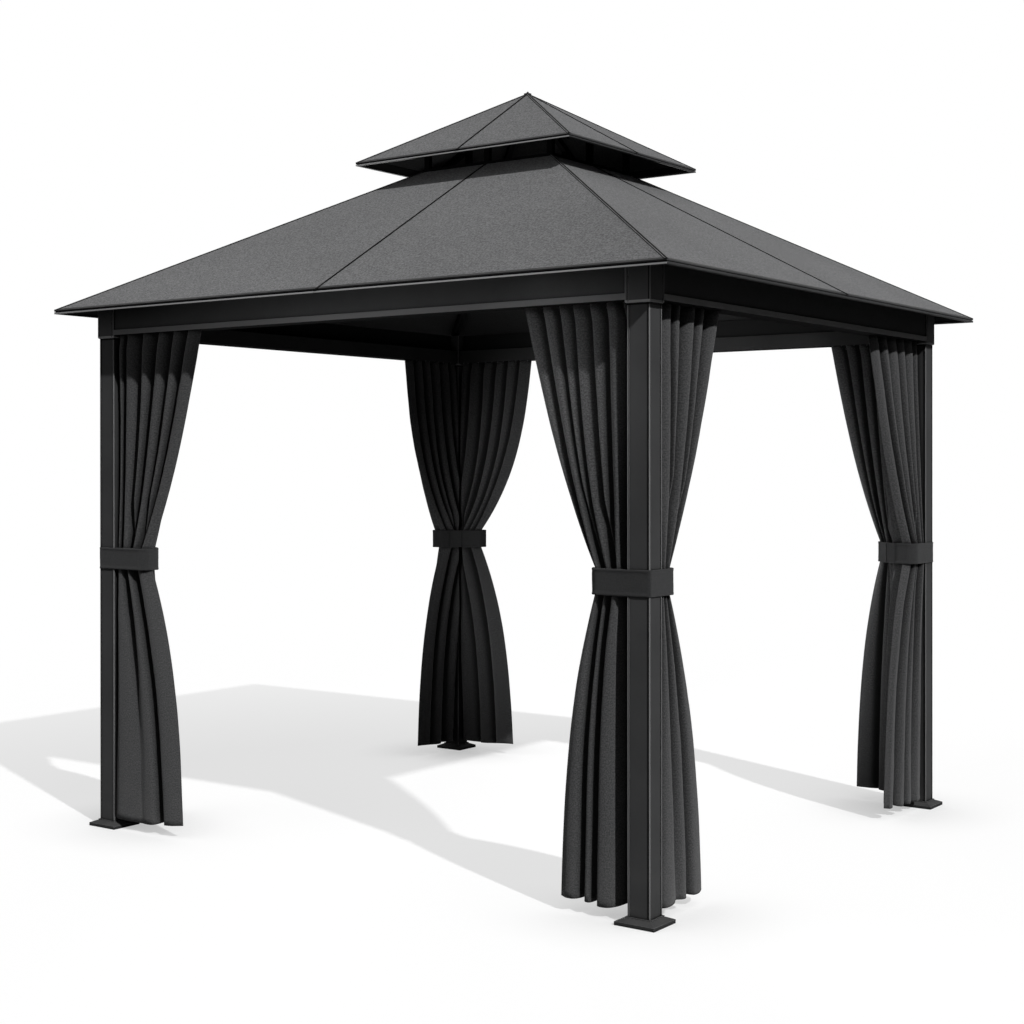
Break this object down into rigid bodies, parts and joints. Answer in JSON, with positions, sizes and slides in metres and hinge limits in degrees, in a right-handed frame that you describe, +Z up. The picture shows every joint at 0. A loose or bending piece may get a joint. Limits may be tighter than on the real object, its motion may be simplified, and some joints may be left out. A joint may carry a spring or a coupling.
{
  "type": "metal gazebo",
  "caption": "Square open metal gazebo with corner posts, a two-tier vented hip roof and curtains tied back to the posts.",
  "frame": {"origin": "middle of the plan on the ground under the feet", "axes": "+Z up, -Y out of the front side, +X out of the right side"},
  "size_m": [2.95, 2.95, 3.2098],
  "materials": {
    "frame_paint": "satin charcoal powder coat",
    "trim_paint": "satin charcoal powder coat",
    "roof_sheet": "matte fine-grained grey coating",
    "curtain_cloth": "woven charcoal polyester",
    "tie_cloth": "woven charcoal band"
  },
  "bodies": {
    "root": {"foot_front_right": "frame_paint", "post_front_right": "frame_paint", "sleeve_front_right": "frame_paint", "tie_back_front_right": "tie_cloth", "foot_back_right": "frame_paint", "post_back_right": "frame_paint", "sleeve_back_right": "frame_paint", "tie_back_back_right": "tie_cloth", "foot_back_left": "frame_paint", "post_back_left": "frame_paint", "sleeve_back_left": "frame_paint", "tie_back_back_left": "tie_cloth", "foot_front_left": "frame_paint", "post_front_left": "frame_paint", "sleeve_front_left": "frame_paint", "tie_back_front_left": "tie_cloth", "beam_front": "frame_paint", "roof_front": "roof_sheet", "curtain_front_right": "curtain_cloth", "curtain_right_front": "curtain_cloth", "beam_right": "frame_paint", "roof_right": "roof_sheet", "curtain_right_back": "curtain_cloth", "curtain_back_right": "curtain_cloth", "beam_back": "frame_paint", "roof_back": "roof_sheet", "curtain_back_left": "curtain_cloth", "curtain_left_back": "curtain_cloth", "beam_left": "frame_paint", "roof_left": "roof_sheet", "curtain_left_front": "curtain_cloth", "curtain_front_left": "curtain_cloth", "curtain_tracks": "frame_paint", "rafters": "frame_paint", "eave_trim": "trim_paint", "roof_caps": "frame_paint", "vent_ring": "frame_paint", "vent_risers": "frame_paint", "upper_rafters": "frame_paint", "upper_roof": "roof_sheet", "upper_trim": "trim_paint", "upper_caps": "frame_paint", "finial": "frame_paint"}
  },
  "joints": []
}
